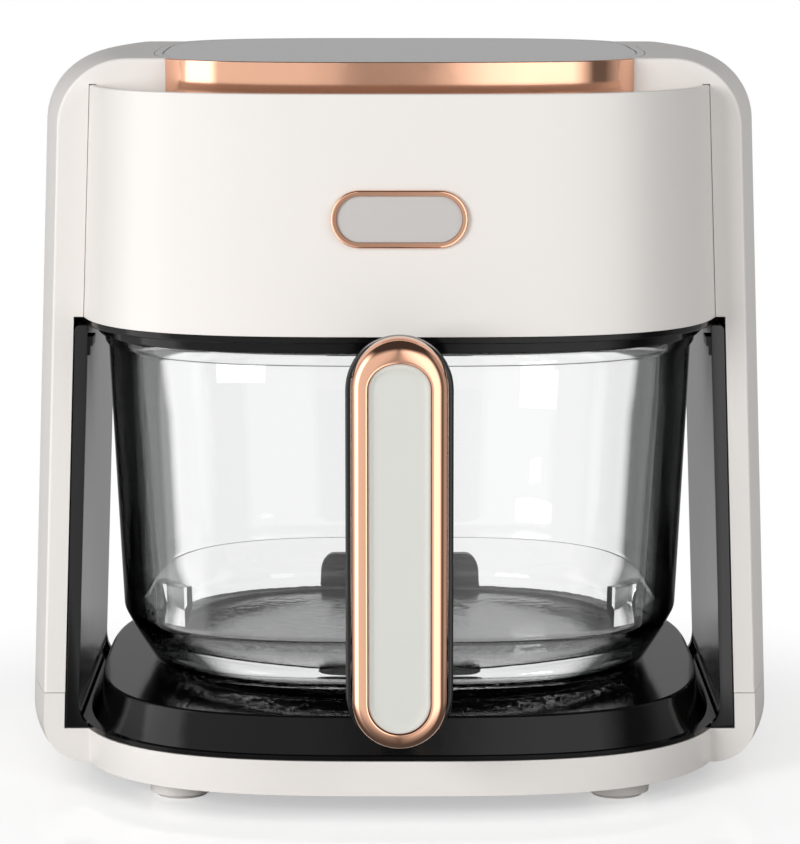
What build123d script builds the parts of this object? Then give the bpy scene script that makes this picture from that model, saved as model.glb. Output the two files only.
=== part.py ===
from build123d import *
from math import atan, copysign, cos, pi, sin
import os

# Glass air fryer: a bridge-shaped body stands over a glass bowl that slides out to the front.
# Millimetres. +Z is up, the floor is z = 0, the front faces -Y, and the origin is the middle of
# the whole object's footprint. body_y is where the body's own middle lies behind that origin.

os.makedirs("parts", exist_ok=True)

# Overall sizes
body_width = 325.0
body_height = 310.8
arch_depth = 154.0
head_half_x = 137.9
head_half_y = 145.6
head_power = 3.42
handle_reach = 190.0
foot_height = 9.8

# Walls and clearances
wall = 2.8
cover_wall = 2.6
sheet = 1.0
seam = 0.3
seat_clear = 0.1
slide_gap = 0.5
running_fit = 0.04
hole_clearance = 0.4

# Lean of the sides: how far each side drifts outwards for each millimetre of drop
side_lean = 0.036
front_lean = 0.022
side_crown = 10.0
arch_corner = 29.0
base_corner = 17.0
edge_round = 1.4

# Base
base_half_x = 141.3
base_half_y = 136.8
base_power = 3.1
base_height = 14.6
leg_block_height = 30.3
tray_half_x = 130.4
tray_half_y = 131.1
tray_power = 3.2
tray_rise = 17.8
tray_lip = 1.8
tray_flare = 7.0
plate_thickness = 2.5
foot_x = 92.5
foot_y = 92.0
foot_radius = 14.0
pad_thickness = 1.8

# Bay between the legs
bay_half_top = 131.5
trim_width = 6.0
liner_wall = 2.2
trim_bevel = 1.2

# Bowl
bowl_height = 150.8
bowl_half_x = 127.0
bowl_half_y = 130.0
bowl_power = 3.0
bowl_wall = 5.0
bowl_floor = 7.0
bead_height = 5.3
bead_proud = 1.5
shoulder_height = 29.5
shoulder_half_x = 121.3
shoulder_half_y = 126.5
bowl_foot_half_x = 107.0
bowl_foot_half_y = 105.0
bowl_foot_power = 2.45
rib_width = 7.0
rib_height = 17.0
rib_depth = 4.0

# Head
ring_lip = 2.7
ring_drop = 5.3
ring_half_y = 134.0
ring_power = 3.3
mouth_half_x = 118.0
mouth_half_y = 121.0
mouth_power = 3.0
pod_stand = 11.1
rim_rise = 3.0

# Pod on top of the head
pod_half_x = 105.4
pod_half_y = 108.9
pod_power = 3.6
pod_rim = 3.3
band_wall = 1.4
panel_thickness = 3.2
well_depth = 10.7

# Badge
badge_width = 55.4
badge_height = 23.4
badge_ring = 2.3
badge_proud = 1.8
badge_drop = 50.0
badge_round = 0.95
badge_plate_thickness = 0.8

# Handle
handle_width = 43.0
handle_height = 165.6
handle_depth = 14.0
frame_width = 38.8
frame_height = 164.4
frame_depth = 11.4
frame_ring = 6.6
bracket_width = 26.0
bracket_height = 38.0
bracket_drop = 7.5
bracket_corner = 4.0
gasket_thickness = 1.2
clamp_thickness = 2.0
clamp_inset = 1.0
bolt_radius = 2.5
bolt_spacing = 22.0
bolt_head_radius = 4.6
bolt_head_height = 2.6
bolt_head_round = 1.5
bolt_bite = 18.0
handle_screw_bite = 9.0
blind_end = 1.0

# Hot air chamber, fans and motor
dome_radius = 112.0
dome_height = 37.7
shield_gap = 5.0
coil_outer = 88.0
coil_inner = 66.0
coil_tube = 3.2
coil_drop = 26.0
hot_fan_radius = 57.0
hot_fan_height = 15.0
cool_fan_radius = 43.0
cool_fan_height = 9.0
shaft_radius = 3.0
motor_radius = 34.0
motor_height = 27.0
bearing_radius = 9.5
bearing_height = 4.0
board_thickness = 1.6

# Bowl stop and interlock at the back of the tray
stop_width = 77.6
stop_height = 20.6
stop_depth = 7.2
stop_wall = 1.6
plunger_radius = 2.6
plunger_travel = 1.8

# Heights worked out from the sizes above
body_y = (handle_reach - head_half_y) / 2
base_z = foot_height
band_top = base_z + base_height
leg_seam = base_z + leg_block_height
tray_top = band_top + tray_rise
bowl_z = tray_top + seam
shoulder_z = bowl_z + shoulder_height
rim_top = bowl_z + bowl_height
bead_z = rim_top - bead_height
ring_z = rim_top + slide_gap
lip_z = ring_z + ring_drop
head_z = lip_z + ring_lip + seam
cover_height = body_height - pod_stand - head_z
cover_top = head_z + cover_height
ledge_top = cover_top - rim_rise
arch_top = body_height
well_floor = arch_top - well_depth
widest_z = base_z + base_corner
half_depth = arch_depth / 2
liner_top = lip_z - seam
liner_bottom = band_top + seam


def level(z):
    """A horizontal plane at height z, centred on the body."""
    return Plane(origin=(0, body_y, z), x_dir=(1, 0, 0), z_dir=(0, 0, 1))


def facing(y, z=0.0):
    """An upright plane that faces the front, y behind the body's middle, with its origin at z."""
    return Plane(origin=(0, body_y + y, z), x_dir=(1, 0, 0), z_dir=(0, -1, 0))


def rounded_square(plane, half_x, half_y, power, points=32):
    """The smooth closed outline |x/half_x|^power + |y/half_y|^power = 1."""

    def at(angle):
        across, along = cos(angle), sin(angle)
        x = half_x * abs(across) ** (2 / power)
        y = half_y * abs(along) ** (2 / power)
        return copysign(x, across), copysign(y, along)

    with BuildSketch(plane) as outline:
        with BuildLine():
            Spline([at(2 * pi * k / points) for k in range(points)], periodic=True)
        make_face()
    return outline.sketch


def keep(builder, name):
    """Labels a finished piece and writes it."""
    builder.part.label = name
    export_step(builder.part, "parts/" + name + ".step")


def arch_half(z):
    """Half of the arch's width on its front face at height z."""
    return body_width / 2 - side_crown - side_lean * (z - widest_z)


def bay_half(z):
    """Half of the gap between the two leg liners at height z."""
    return bay_half_top + side_lean * (liner_top - z)


def cover_half_x(z):
    return head_half_x - side_lean * (z - head_z)


def cover_half_y(z):
    return head_half_y - front_lean * (z - head_z)


def arch_plan(z, inset):
    """The arch seen from above at height z: flat front and rear, bowed sides."""
    half_x = arch_half(z) - inset
    half_y = half_depth - inset
    with BuildSketch(level(z)) as plan:
        with BuildLine():
            Line((-half_x, -half_y), (half_x, -half_y))
            ThreePointArc((half_x, -half_y), (half_x + side_crown, 0), (half_x, half_y))
            Line((half_x, half_y), (-half_x, half_y))
            ThreePointArc((-half_x, half_y), (-half_x - side_crown, 0), (-half_x, -half_y))
        make_face()
    return plan.sketch


def arch_block(low, high, inset, top_radius=0.0, bottom_radius=0.0):
    """A solid slice of the arch's outline, with its side edges rounded above or below."""
    with BuildPart() as block:
        loft(sections=[arch_plan(low, inset), arch_plan(high, inset)])
        if top_radius:
            sides = block.faces().sort_by(Axis.Z)[-1].edges().sort_by(Axis.X)
            fillet([sides[0], sides[-1]], top_radius)
        if bottom_radius:
            sides = block.faces().sort_by(Axis.Z)[0].edges().sort_by(Axis.X)
            fillet([sides[0], sides[-1]], bottom_radius)
    return block.part


def bay_prism(low, high, low_half, high_half, half_length):
    """A leaning-sided passage through the arch from front to rear."""
    with BuildPart() as prism:
        with BuildSketch(facing(-half_length)):
            with BuildLine():
                Polyline(
                    (-low_half, low), (low_half, low), (high_half, high), (-high_half, high), close=True
                )
            make_face()
        extrude(amount=-2 * half_length)
    return prism.part


def cover_section(z, inset):
    """The curved head seen from above at height z."""
    return rounded_square(level(z), cover_half_x(z) - inset, cover_half_y(z) - inset, head_power)


# Arch shell
with BuildPart() as pod_well:
    well_skin = seam + wall
    extrude(
        rounded_square(level(well_floor - wall), pod_half_x + well_skin, pod_half_y + well_skin, pod_power),
        amount=well_depth,
    )
    with BuildSketch(level(well_floor - wall)):
        Rectangle(body_width, arch_depth - 2 * wall)
    extrude(amount=well_depth, mode=Mode.INTERSECT)

# The room that the head covers take in the arch: all of the head up to the window's top edge, and
# above it only a slot for the covers' skin
cover_end = half_depth - wall
cover_gap = 2 * seat_clear
window_top = ledge_top - cover_wall - seam
with BuildPart() as cover_room:
    loft(sections=[cover_section(head_z, -cover_gap), cover_section(cover_top + seam, -cover_gap)])
    loft(
        sections=[
            cover_section(window_top, cover_wall + cover_gap),
            cover_section(cover_top + wall, cover_wall + cover_gap),
        ],
        mode=Mode.SUBTRACT,
    )

with BuildPart() as arch_shell:
    add(arch_block(leg_seam, arch_top, 0, top_radius=arch_corner))
    for end in (0, -1):
        outline = arch_shell.faces().sort_by(Axis.Y)[end].edges().sort_by(Axis.Z)[1:]
        fillet(outline, edge_round)
    add(
        arch_block(leg_seam - wall, arch_top - wall, wall, top_radius=arch_corner - wall),
        mode=Mode.SUBTRACT,
    )
    add(
        bay_prism(
            leg_seam - wall,
            head_z,
            bay_half(leg_seam - wall) + trim_width,
            bay_half(head_z) + trim_width,
            arch_depth,
        ),
        mode=Mode.SUBTRACT,
    )
    add(cover_room.part, mode=Mode.SUBTRACT)
    add(pod_well.part)
    extrude(
        rounded_square(level(well_floor), pod_half_x + seam, pod_half_y + seam, pod_power),
        amount=well_depth + wall,
        mode=Mode.SUBTRACT,
    )
keep(arch_shell, "arch_shell")

# Base shell: the band under the tray and a hollow block under each leg
with BuildPart() as leg_blocks:
    add(arch_block(base_z, leg_seam - seam, 0, bottom_radius=base_corner))
    add(
        bay_prism(
            band_top,
            leg_seam + wall,
            bay_half(band_top) + trim_width,
            bay_half(leg_seam) + trim_width,
            arch_depth,
        ),
        mode=Mode.SUBTRACT,
    )

with BuildPart() as base_shell:
    add(leg_blocks.part)
    extrude(rounded_square(level(base_z), base_half_x, base_half_y, base_power), amount=base_height)
    add(
        arch_block(base_z + wall, leg_seam + wall, wall, bottom_radius=base_corner - wall),
        mode=Mode.SUBTRACT,
    )
    extrude(
        rounded_square(level(base_z), base_half_x - wall, base_half_y - wall, base_power),
        amount=base_height,
        mode=Mode.SUBTRACT,
    )
keep(base_shell, "base_shell")

# Bottom plate, with a rim of screws, inside the band
plate_half_x = base_half_x - wall - seam
plate_half_y = base_half_y - wall - seam
boss_radius = 4.5
screw_radius = 1.6
screw_head_radius = 3.0
screw_head_height = 1.8
screw_bite = 7.0
boss_inset = 34.0
boss_y = foot_y - boss_inset
boss_places = [(x, y) for x in (-foot_x, foot_x) for y in (-boss_y, boss_y)]
foot_places = [(x, y) for x in (-foot_x, foot_x) for y in (-foot_y, foot_y)]

with BuildPart() as base_bottom_plate:
    extrude(rounded_square(level(base_z), plate_half_x, plate_half_y, base_power), amount=plate_thickness)
    with BuildSketch(level(base_z)):
        with Locations(*boss_places):
            Circle(screw_radius + hole_clearance)
    extrude(amount=plate_thickness, mode=Mode.SUBTRACT)
keep(base_bottom_plate, "base_bottom_plate")

with BuildPart() as bottom_screws:
    with BuildSketch(level(base_z)):
        with Locations(*boss_places):
            Circle(screw_head_radius)
    extrude(amount=-screw_head_height)
    with BuildSketch(level(base_z)):
        with Locations(*boss_places):
            Circle(screw_radius)
    extrude(amount=plate_thickness + screw_bite)
keep(bottom_screws, "bottom_screws")

# Four feet and their rubber pads
foot_taper = 4
pad_inset = 3.0
with BuildPart() as feet:
    with BuildSketch(level(base_z)):
        with Locations(*foot_places):
            Circle(foot_radius)
    extrude(amount=-(foot_height - pad_thickness), taper=foot_taper)
keep(feet, "feet")

with BuildPart() as foot_pads:
    with BuildSketch(level(0)):
        with Locations(*foot_places):
            Circle(foot_radius - pad_inset)
    extrude(amount=pad_thickness)
    fillet(foot_pads.edges().filter_by(Plane.XY).group_by(Axis.Z)[0], pad_thickness / 3)
keep(foot_pads, "foot_pads")


# Base tray: flat top, flared side, thin lip over the band, bosses that take the bottom screws
def tray_section(z, inset):
    rise = (tray_top - z) / tray_rise
    flare = tray_flare * rise * rise
    return rounded_square(
        level(z), tray_half_x + flare - inset, tray_half_y + flare / 2 - inset, tray_power
    )


tray_z = band_top + seam
with BuildPart() as tray_core:
    core_top = tray_top - cover_wall
    loft(sections=[tray_section(z, cover_wall) for z in (tray_z, (tray_z + tray_top) / 2, core_top)])

with BuildPart() as leg_zones:
    for side in (-1, 1):
        with BuildSketch(level(base_z)):
            with Locations((side * body_width / 2, 0)):
                Rectangle(body_width - 2 * (bay_half(tray_top) - seam), arch_depth + 2 * seam)
        extrude(amount=leg_seam)

with BuildPart() as base_tray:
    loft(sections=[tray_section(z, 0) for z in (tray_z, (tray_z + tray_top) / 2, tray_top)])
    fillet(base_tray.faces().sort_by(Axis.Z)[-1].edges(), edge_round)
    extrude(
        rounded_square(level(tray_z), base_half_x - seam, base_half_y - seam, base_power),
        amount=tray_lip,
    )
    add(tray_core.part, mode=Mode.SUBTRACT)
    add(leg_zones.part, mode=Mode.SUBTRACT)
    with BuildSketch(level(base_z + plate_thickness)):
        with Locations(*boss_places):
            Circle(boss_radius)
    extrude(amount=tray_top - cover_wall - base_z - plate_thickness)
    with BuildSketch(level(base_z + plate_thickness)):
        with Locations(*boss_places):
            Circle(screw_radius)
    extrude(amount=screw_bite, mode=Mode.SUBTRACT)
keep(base_tray, "base_tray")


# Black channels that close the inner side of each leg
def leg_liner(side):
    with BuildPart() as liner:
        with BuildSketch(facing(-half_depth)) as strip:
            with BuildLine():
                low_in = side * bay_half(liner_bottom)
                high_in = side * bay_half(liner_top)
                out = side * (trim_width - seam)
                Polyline(
                    (low_in, liner_bottom),
                    (low_in + out, liner_bottom),
                    (high_in + out, liner_top),
                    (high_in, liner_top),
                    close=True,
                )
            make_face()
        extrude(amount=-arch_depth)
        inner = liner.faces().sort_by(Axis.X)[0 if side > 0 else -1]
        chamfer(inner.edges().group_by(Axis.Y)[0] + inner.edges().group_by(Axis.Y)[-1], trim_bevel)
        with BuildSketch(facing(-half_depth + liner_wall)):
            with BuildLine():
                skin = side * liner_wall
                Polyline(
                    (low_in + skin, liner_bottom - wall),
                    (low_in + 2 * out, liner_bottom - wall),
                    (high_in + 2 * out, liner_top + wall),
                    (high_in + skin, liner_top + wall),
                    close=True,
                )
            make_face()
        extrude(amount=-(arch_depth - 2 * liner_wall), mode=Mode.SUBTRACT)
    return liner


leg_liner_left = leg_liner(-1)
keep(leg_liner_left, "leg_liner_left")
leg_liner_right = leg_liner(1)
keep(leg_liner_right, "leg_liner_right")


# Glass bowl
dip_power = 1.5


def bowl_sizes(z):
    """Half sizes and power of the bowl's outer outline at height z."""
    if z >= shoulder_z:
        rise = (z - shoulder_z) / (bead_z - shoulder_z)
        half_x = shoulder_half_x + (bowl_half_x - shoulder_half_x) * rise
        half_y = shoulder_half_y + (bowl_half_y - shoulder_half_y) * rise
        return half_x, half_y, bowl_power
    dip = ((shoulder_z - z) / shoulder_height) ** dip_power
    half_x = shoulder_half_x - (shoulder_half_x - bowl_foot_half_x) * dip
    half_y = shoulder_half_y - (shoulder_half_y - bowl_foot_half_y) * dip
    return half_x, half_y, bowl_power - (bowl_power - bowl_foot_power) * dip


def bowl_section(z, inset):
    half_x, half_y, power = bowl_sizes(z)
    return rounded_square(level(z), half_x - inset, half_y - inset, power)


def bowl_form(low, inset):
    """The solid inside the bowl's surface: a rounded lower part and a straight tapered wall."""
    steps = [low + (shoulder_z - low) * k / 4 for k in range(5)]
    with BuildPart() as form:
        loft(sections=[bowl_section(z, inset) for z in steps])
        loft(sections=[bowl_section(shoulder_z, inset), bowl_section(rim_top, inset)])
    return form.part


bowl_mouth_half_x = bowl_sizes(rim_top)[0] - bowl_wall
bowl_mouth_half_y = bowl_sizes(rim_top)[1] - bowl_wall
rib_lift = 2.0
rib_z = shoulder_z + rib_lift
rib_half_x = bowl_sizes(rib_z)[0] - bowl_wall
rib_half_y = bowl_sizes(rib_z)[1] - bowl_wall
corner_share = 0.5 ** (1 / bowl_power)

# The flat stretch of the bowl's front wall that carries the handle
bracket_z = bead_z - bracket_drop - bracket_height / 2
bowl_lean = atan((bowl_half_y - shoulder_half_y) / (bead_z - shoulder_z))
bowl_front = Plane(
    origin=(0, body_y - bowl_sizes(bracket_z)[1], bracket_z),
    x_dir=(1, 0, 0),
    z_dir=(0, -cos(bowl_lean), -sin(bowl_lean)),
)
bolt_places = [(0, -bolt_spacing / 2), (0, bolt_spacing / 2)]

with BuildPart() as glass_bowl:
    add(bowl_form(bowl_z, 0))
    extrude(
        rounded_square(level(bead_z), bowl_half_x + bead_proud, bowl_half_y + bead_proud, bowl_power),
        amount=bead_height,
    )
    fillet(glass_bowl.faces().sort_by(Axis.Z)[0].edges(), edge_round)
    fillet(glass_bowl.faces().sort_by(Axis.Z)[-1].edges(), edge_round)
    add(bowl_form(bowl_z + bowl_floor, bowl_wall), mode=Mode.SUBTRACT)
    with BuildSketch(level(rib_z)):
        for side_x in (-1, 1):
            for side_y in (-1, 1):
                with Locations((side_x * rib_half_x * corner_share, side_y * rib_half_y * corner_share)):
                    Rectangle(2 * rib_depth, rib_width, rotation=45 * side_x * side_y)
    extrude(amount=rib_height)
    with BuildSketch(bowl_front):
        with Locations(*bolt_places):
            Circle(bolt_radius + 2 * hole_clearance)
    extrude(amount=-3 * bowl_wall, both=True, mode=Mode.SUBTRACT)
keep(glass_bowl, "glass_bowl")

# Handle: a black shell, a rose-gold ring and a pale insert, bolted to the glass by a bracket
handle_top = 18.5
handle_z = bead_z + handle_top - handle_height / 2
frame_back = handle_reach - frame_depth
shell_back = frame_back - handle_depth
shell_wall = 2.4
shell_round = 7.7
frame_round = 4.75
insert_recess = 1.4
insert_depth = 5.0
flange_width = 2.0

with BuildPart() as handle_shell:
    with BuildSketch(facing(-shell_back, handle_z)):
        SlotOverall(handle_height, handle_width, rotation=90)
    extrude(amount=handle_depth)
    fillet(handle_shell.faces().sort_by(Axis.Y)[-1].edges(), shell_round)
    fillet(handle_shell.faces().sort_by(Axis.Y)[0].edges(), edge_round)
    with BuildSketch(facing(-frame_back, handle_z)):
        SlotOverall(frame_height - 2 * frame_ring, frame_width - 2 * frame_ring, rotation=90)
    extrude(amount=-(handle_depth - 2 * shell_wall), mode=Mode.SUBTRACT)
    with BuildSketch(facing(-shell_back, bracket_z)):
        with Locations(*bolt_places):
            Circle(screw_radius + hole_clearance)
    extrude(amount=handle_depth, mode=Mode.SUBTRACT)
keep(handle_shell, "handle_shell")

with BuildPart() as handle_frame:
    with BuildSketch(facing(-frame_back, handle_z)):
        SlotOverall(frame_height, frame_width, rotation=90)
    extrude(amount=frame_depth)
    fillet(handle_frame.faces().sort_by(Axis.Y)[0].edges(), frame_round)
    with BuildSketch(facing(-handle_reach, handle_z)):
        SlotOverall(frame_height - 2 * frame_ring, frame_width - 2 * frame_ring, rotation=90)
    extrude(amount=-(insert_recess + insert_depth), mode=Mode.SUBTRACT)
    with BuildSketch(facing(-handle_reach, handle_z)):
        SlotOverall(
            frame_height - 2 * (frame_ring + flange_width),
            frame_width - 2 * (frame_ring + flange_width),
            rotation=90,
        )
    extrude(amount=-frame_depth, mode=Mode.SUBTRACT)
keep(handle_frame, "handle_frame")

insert_height = frame_height - 2 * frame_ring - 2 * seam
insert_width = frame_width - 2 * frame_ring - 2 * seam
insert_rim = 1.1
insert_dish = 0.9
dish_taper = 60
with BuildPart() as handle_insert:
    with BuildSketch(facing(-handle_reach + insert_recess, handle_z)):
        SlotOverall(insert_height, insert_width, rotation=90)
    extrude(amount=-insert_depth)
    with BuildSketch(facing(-handle_reach + insert_recess, handle_z)):
        SlotOverall(insert_height - 2 * insert_rim, insert_width - 2 * insert_rim, rotation=90)
    extrude(amount=-insert_dish, taper=dish_taper, mode=Mode.SUBTRACT)
keep(handle_insert, "handle_insert")

with BuildPart() as gasket_outer:
    with BuildSketch(bowl_front.offset(seat_clear)):
        RectangleRounded(bracket_width, bracket_height, bracket_corner)
        with Locations(*bolt_places):
            Circle(bolt_radius + hole_clearance, mode=Mode.SUBTRACT)
    extrude(amount=gasket_thickness)
keep(gasket_outer, "gasket_outer")

with BuildPart() as handle_bracket:
    with BuildSketch(facing(-shell_back, bracket_z)):
        RectangleRounded(bracket_width, bracket_height, bracket_corner)
    extrude(amount=-(shell_back - bowl_half_y + bowl_wall))
    split(bisect_by=bowl_front.offset(seat_clear + gasket_thickness), keep=Keep.TOP)
    with BuildSketch(bowl_front):
        with Locations(*bolt_places):
            Circle(bolt_radius + running_fit)
    extrude(amount=bolt_bite + blind_end, mode=Mode.SUBTRACT)
    with BuildSketch(facing(-shell_back, bracket_z)):
        with Locations(*bolt_places):
            Circle(screw_radius + running_fit)
    extrude(amount=-handle_screw_bite - blind_end, mode=Mode.SUBTRACT)
keep(handle_bracket, "handle_bracket")

inner_wall = -bowl_wall * cos(bowl_lean) - seat_clear
with BuildPart() as gasket_inner:
    with BuildSketch(bowl_front.offset(inner_wall)):
        RectangleRounded(bracket_width, bracket_height, bracket_corner)
        with Locations(*bolt_places):
            Circle(bolt_radius + hole_clearance, mode=Mode.SUBTRACT)
    extrude(amount=-gasket_thickness)
keep(gasket_inner, "gasket_inner")

with BuildPart() as clamp_plate:
    with BuildSketch(bowl_front.offset(inner_wall - gasket_thickness)):
        RectangleRounded(bracket_width - 2 * clamp_inset, bracket_height - 2 * clamp_inset, bracket_corner)
        with Locations(*bolt_places):
            Circle(bolt_radius + hole_clearance, mode=Mode.SUBTRACT)
    extrude(amount=-clamp_thickness)
keep(clamp_plate, "clamp_plate")

head_seat = inner_wall - gasket_thickness - clamp_thickness
with BuildPart() as handle_bolts:
    with BuildSketch(bowl_front.offset(head_seat)):
        with Locations(*bolt_places):
            Circle(bolt_head_radius)
    extrude(amount=-bolt_head_height)
    fillet(handle_bolts.faces().sort_by(Axis.Y)[-2:].edges(), bolt_head_round)
    with BuildSketch(bowl_front.offset(head_seat)):
        with Locations(*bolt_places):
            Circle(bolt_radius)
    extrude(amount=bolt_bite - head_seat)
keep(handle_bolts, "handle_bolts")

with BuildPart() as handle_screws:
    with BuildSketch(facing(-shell_back - shell_wall * 2, bracket_z)):
        with Locations(*bolt_places):
            Circle(screw_head_radius)
    extrude(amount=screw_head_height)
    with BuildSketch(facing(-shell_back - shell_wall * 2, bracket_z)):
        with Locations(*bolt_places):
            Circle(screw_radius)
    extrude(amount=-(shell_wall * 2 + handle_screw_bite))
keep(handle_screws, "handle_screws")


# Head covers: one curved skin, cut into a front half and its mirror image
with BuildPart() as head_skin:
    loft(sections=[cover_section(head_z, 0), cover_section(cover_top, 0)])
    fillet(head_skin.faces().sort_by(Axis.Z)[-1].edges(), edge_round / 2)
    loft(
        sections=[cover_section(head_z - wall, cover_wall), cover_section(cover_top + wall, cover_wall)],
        mode=Mode.SUBTRACT,
    )

with BuildPart() as cover_ledge:
    extrude(cover_section(ledge_top, cover_wall / 2), amount=-cover_wall)
    with BuildSketch(level(ledge_top)):
        with Locations((0, -body_width / 2 - half_depth - seam)):
            Rectangle(2 * body_width, body_width)
    extrude(amount=-cover_wall, mode=Mode.INTERSECT)
    extrude(
        rounded_square(level(ledge_top), pod_half_x - pod_rim, pod_half_y - pod_rim, pod_power),
        amount=-cover_wall,
        mode=Mode.SUBTRACT,
    )

# Badge: a rose-gold ring round a bare plate, on the leaning front cover
badge_z = cover_top - badge_drop
badge_lean = atan(front_lean)
badge_seat = Plane(
    origin=(0, body_y - cover_half_y(badge_z) - 2 * seat_clear, badge_z),
    x_dir=(1, 0, 0),
    z_dir=(0, -cos(badge_lean), sin(badge_lean)),
)

with BuildPart() as badge_bezel:
    with BuildSketch(badge_seat):
        SlotOverall(badge_width, badge_height)
    extrude(amount=badge_proud)
    fillet(badge_bezel.faces().sort_by(Axis.Y)[0].edges(), badge_round)
    with BuildSketch(badge_seat):
        SlotOverall(badge_width - 2 * badge_ring, badge_height - 2 * badge_ring)
    extrude(amount=badge_proud, mode=Mode.SUBTRACT)
keep(badge_bezel, "badge_bezel")

with BuildPart() as badge_plate:
    with BuildSketch(badge_seat):
        SlotOverall(badge_width - 2 * badge_ring - seam, badge_height - 2 * badge_ring - seam)
    extrude(amount=badge_plate_thickness)
keep(badge_plate, "badge_plate")

with BuildPart() as head_front_cover:
    add(head_skin.part)
    with BuildSketch(level(head_z - wall)):
        with Locations((0, -body_width / 2 - cover_end)):
            Rectangle(2 * body_width, body_width)
    extrude(amount=cover_height + 2 * wall, mode=Mode.INTERSECT)
    add(cover_ledge.part)
keep(head_front_cover, "head_front_cover")

vent_width = 92.0
vent_height = 34.0
vent_pitch = 6.0
vent_slot = 3.0
vent_bar = 3.2
vent_corner = 6.0
vent_drop = 34.0
vent_z = cover_top - vent_drop
inlet_x = -62.0
inlet_rise = 26.0
inlet_z = head_z + inlet_rise
inlet_radius = 7.0
inlet_flange = 10.0
inlet_flange_thickness = 2.5
inlet_tail = 8.0
cord_radius = 3.6

with BuildPart() as head_rear_cover:
    mirror(head_front_cover.part, about=facing(0))
    with BuildSketch(facing(cover_end, vent_z)):
        RectangleRounded(vent_width, vent_height, vent_corner)
    extrude(amount=-head_half_y, mode=Mode.SUBTRACT)
    with BuildSketch(facing(cover_end, inlet_z)):
        with Locations((inlet_x, 0)):
            Circle(inlet_radius + seam)
    extrude(amount=-head_half_y, mode=Mode.SUBTRACT)
keep(head_rear_cover, "head_rear_cover")

with BuildPart() as rear_vent_grille:
    add(head_skin.part)
    with BuildSketch(facing(cover_end, vent_z)):
        RectangleRounded(vent_width - 2 * seam, vent_height - 2 * seam, vent_corner - seam)
    extrude(amount=-head_half_y, mode=Mode.INTERSECT)
    with BuildSketch(facing(cover_end, vent_z)):
        with GridLocations(vent_pitch, 0, int((vent_width - 2 * vent_bar) / vent_pitch), 1):
            SlotOverall(vent_height - 2 * vent_bar, vent_slot, rotation=90)
    extrude(amount=-head_half_y, mode=Mode.SUBTRACT)
keep(rear_vent_grille, "rear_vent_grille")

# Gland of the mains lead in the rear cover
def cover_y(x, z, inset):
    """How far the cover's surface lies behind the body's middle at x and height z."""
    across = abs(x) / (cover_half_x(z) - inset)
    return (cover_half_y(z) - inset) * (1 - across**head_power) ** (1 / head_power)


inlet_front = cover_y(abs(inlet_x) + inlet_flange, inlet_z + inlet_flange, cover_wall) - seam
inlet_back = head_half_y - edge_round
with BuildPart() as cord_inlet:
    with BuildSketch(facing(inlet_back, inlet_z)):
        with Locations((inlet_x, 0)):
            Circle(inlet_radius)
    extrude(amount=inlet_back - inlet_front + inlet_tail)
    with BuildSketch(facing(inlet_front, inlet_z)):
        with Locations((inlet_x, 0)):
            Circle(inlet_flange)
    extrude(amount=inlet_flange_thickness)
    with BuildSketch(facing(head_half_y, inlet_z)):
        with Locations((inlet_x, 0)):
            Circle(cord_radius)
    extrude(amount=body_width, mode=Mode.SUBTRACT)
keep(cord_inlet, "cord_inlet")

# Stepped guides at the four upper corners of the bay
guide_length = 14.0
guide_step = 4.0
guide_reaches = (2.2, 1.3)
with BuildPart() as bowl_guides:
    for side in (-1, 1):
        for end in (-1, 1):
            middle = end * (half_depth - trim_bevel - guide_length / 2)
            with BuildSketch(facing(middle - guide_length / 2)):
                for step, reach in enumerate(guide_reaches):
                    high = ring_z - seam - step * guide_step
                    low = high - guide_step
                    with BuildLine():
                        Polyline(
                            (side * bay_half(high), high),
                            (side * (bay_half(high) - reach), high),
                            (side * (bay_half(low) - reach), low),
                            (side * bay_half(low), low),
                            close=True,
                        )
                    make_face()
            extrude(amount=-guide_length)
keep(bowl_guides, "bowl_guides")

# Pod: carrier and rim, touch panel, rose-gold bands where the pod stands out of the arch
carrier_z = well_floor + seam
carrier_plate = 2.0
panel_z = arch_top - panel_thickness
carrier_foot = 6.0


def pod_section(z, inset):
    return rounded_square(level(z), pod_half_x - inset, pod_half_y - inset, pod_power)


def outside_arch(low, high, margin):
    """Two blocks that hold everything in front of and behind the arch."""
    with BuildPart() as blocks:
        with BuildSketch(level(low)):
            with GridLocations(0, 2 * (half_depth + margin) + body_width, 1, 2):
                Rectangle(2 * body_width, body_width)
        extrude(amount=high - low)
    return blocks.part


with BuildPart() as pod_skirts:
    extrude(pod_section(ledge_top, 0), amount=carrier_z - ledge_top)
    extrude(pod_section(ledge_top, carrier_foot), amount=carrier_z - ledge_top, mode=Mode.SUBTRACT)
    add(outside_arch(ledge_top, carrier_z, seam), mode=Mode.INTERSECT)

with BuildPart() as top_frame:
    extrude(pod_section(carrier_z, 0), amount=arch_top - carrier_z)
    extrude(pod_section(panel_z, pod_rim), amount=panel_thickness, mode=Mode.SUBTRACT)
    extrude(
        pod_section(carrier_z + carrier_plate, carrier_foot),
        amount=panel_thickness + panel_z - carrier_z,
        mode=Mode.SUBTRACT,
    )
    add(pod_skirts.part)
keep(top_frame, "top_frame")

with BuildPart() as touch_panel:
    extrude(pod_section(panel_z, pod_rim + seam), amount=panel_thickness)
    fillet(touch_panel.faces().sort_by(Axis.Z)[-1].edges(), edge_round / 3)
keep(touch_panel, "touch_panel")

band_round = band_wall / 3


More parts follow.
